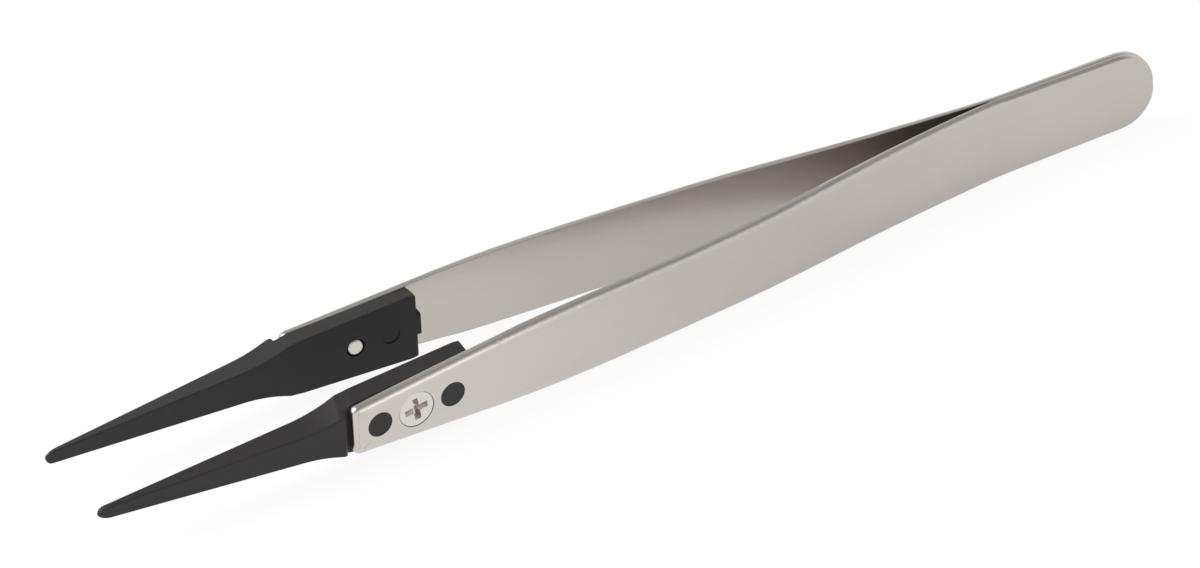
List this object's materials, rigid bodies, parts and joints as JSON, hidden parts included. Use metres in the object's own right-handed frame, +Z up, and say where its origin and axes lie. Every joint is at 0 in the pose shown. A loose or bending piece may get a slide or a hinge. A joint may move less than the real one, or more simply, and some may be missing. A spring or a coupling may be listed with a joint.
{
  "type": "precision tweezers with replaceable tips",
  "caption": "Bowed steel tweezers, welded at the tail, whose arms each carry a screwed-on black moulded tip with a tapering finger for handling delicate parts.",
  "frame": {"origin": "middle of the footprint on the surface the tweezers lie on, standing on the lower edges of their arms", "axes": "+X along the tweezers from the tips towards the welded tail, +Y across the gap towards the far half, +Z up along the width of the arms"},
  "size_m": [0.1298, 0.0166, 0.0098],
  "materials": {
    "arm_steel": "satin stainless steel with a fine even grain along the arms",
    "tip_plastic": "matte black moulded plastic, slightly rough",
    "screw_steel": "bright stainless steel"
  },
  "bodies": {
    "far_half": {"far_arm": "arm_steel", "far_tip": "tip_plastic", "far_screw": "screw_steel"},
    "near_half": {"near_arm": "arm_steel", "near_tip": "tip_plastic", "near_screw": "screw_steel"}
  },
  "joints": [
    {"name": "squeeze", "type": "hinge", "parent": "far_half", "child": "near_half", "pos_m": [0.042, 0, 0.00493], "axis": [0, 0, -1], "range_deg": [0, 5.6], "stiffness_Nm_per_rad": 0.8}
  ]
}
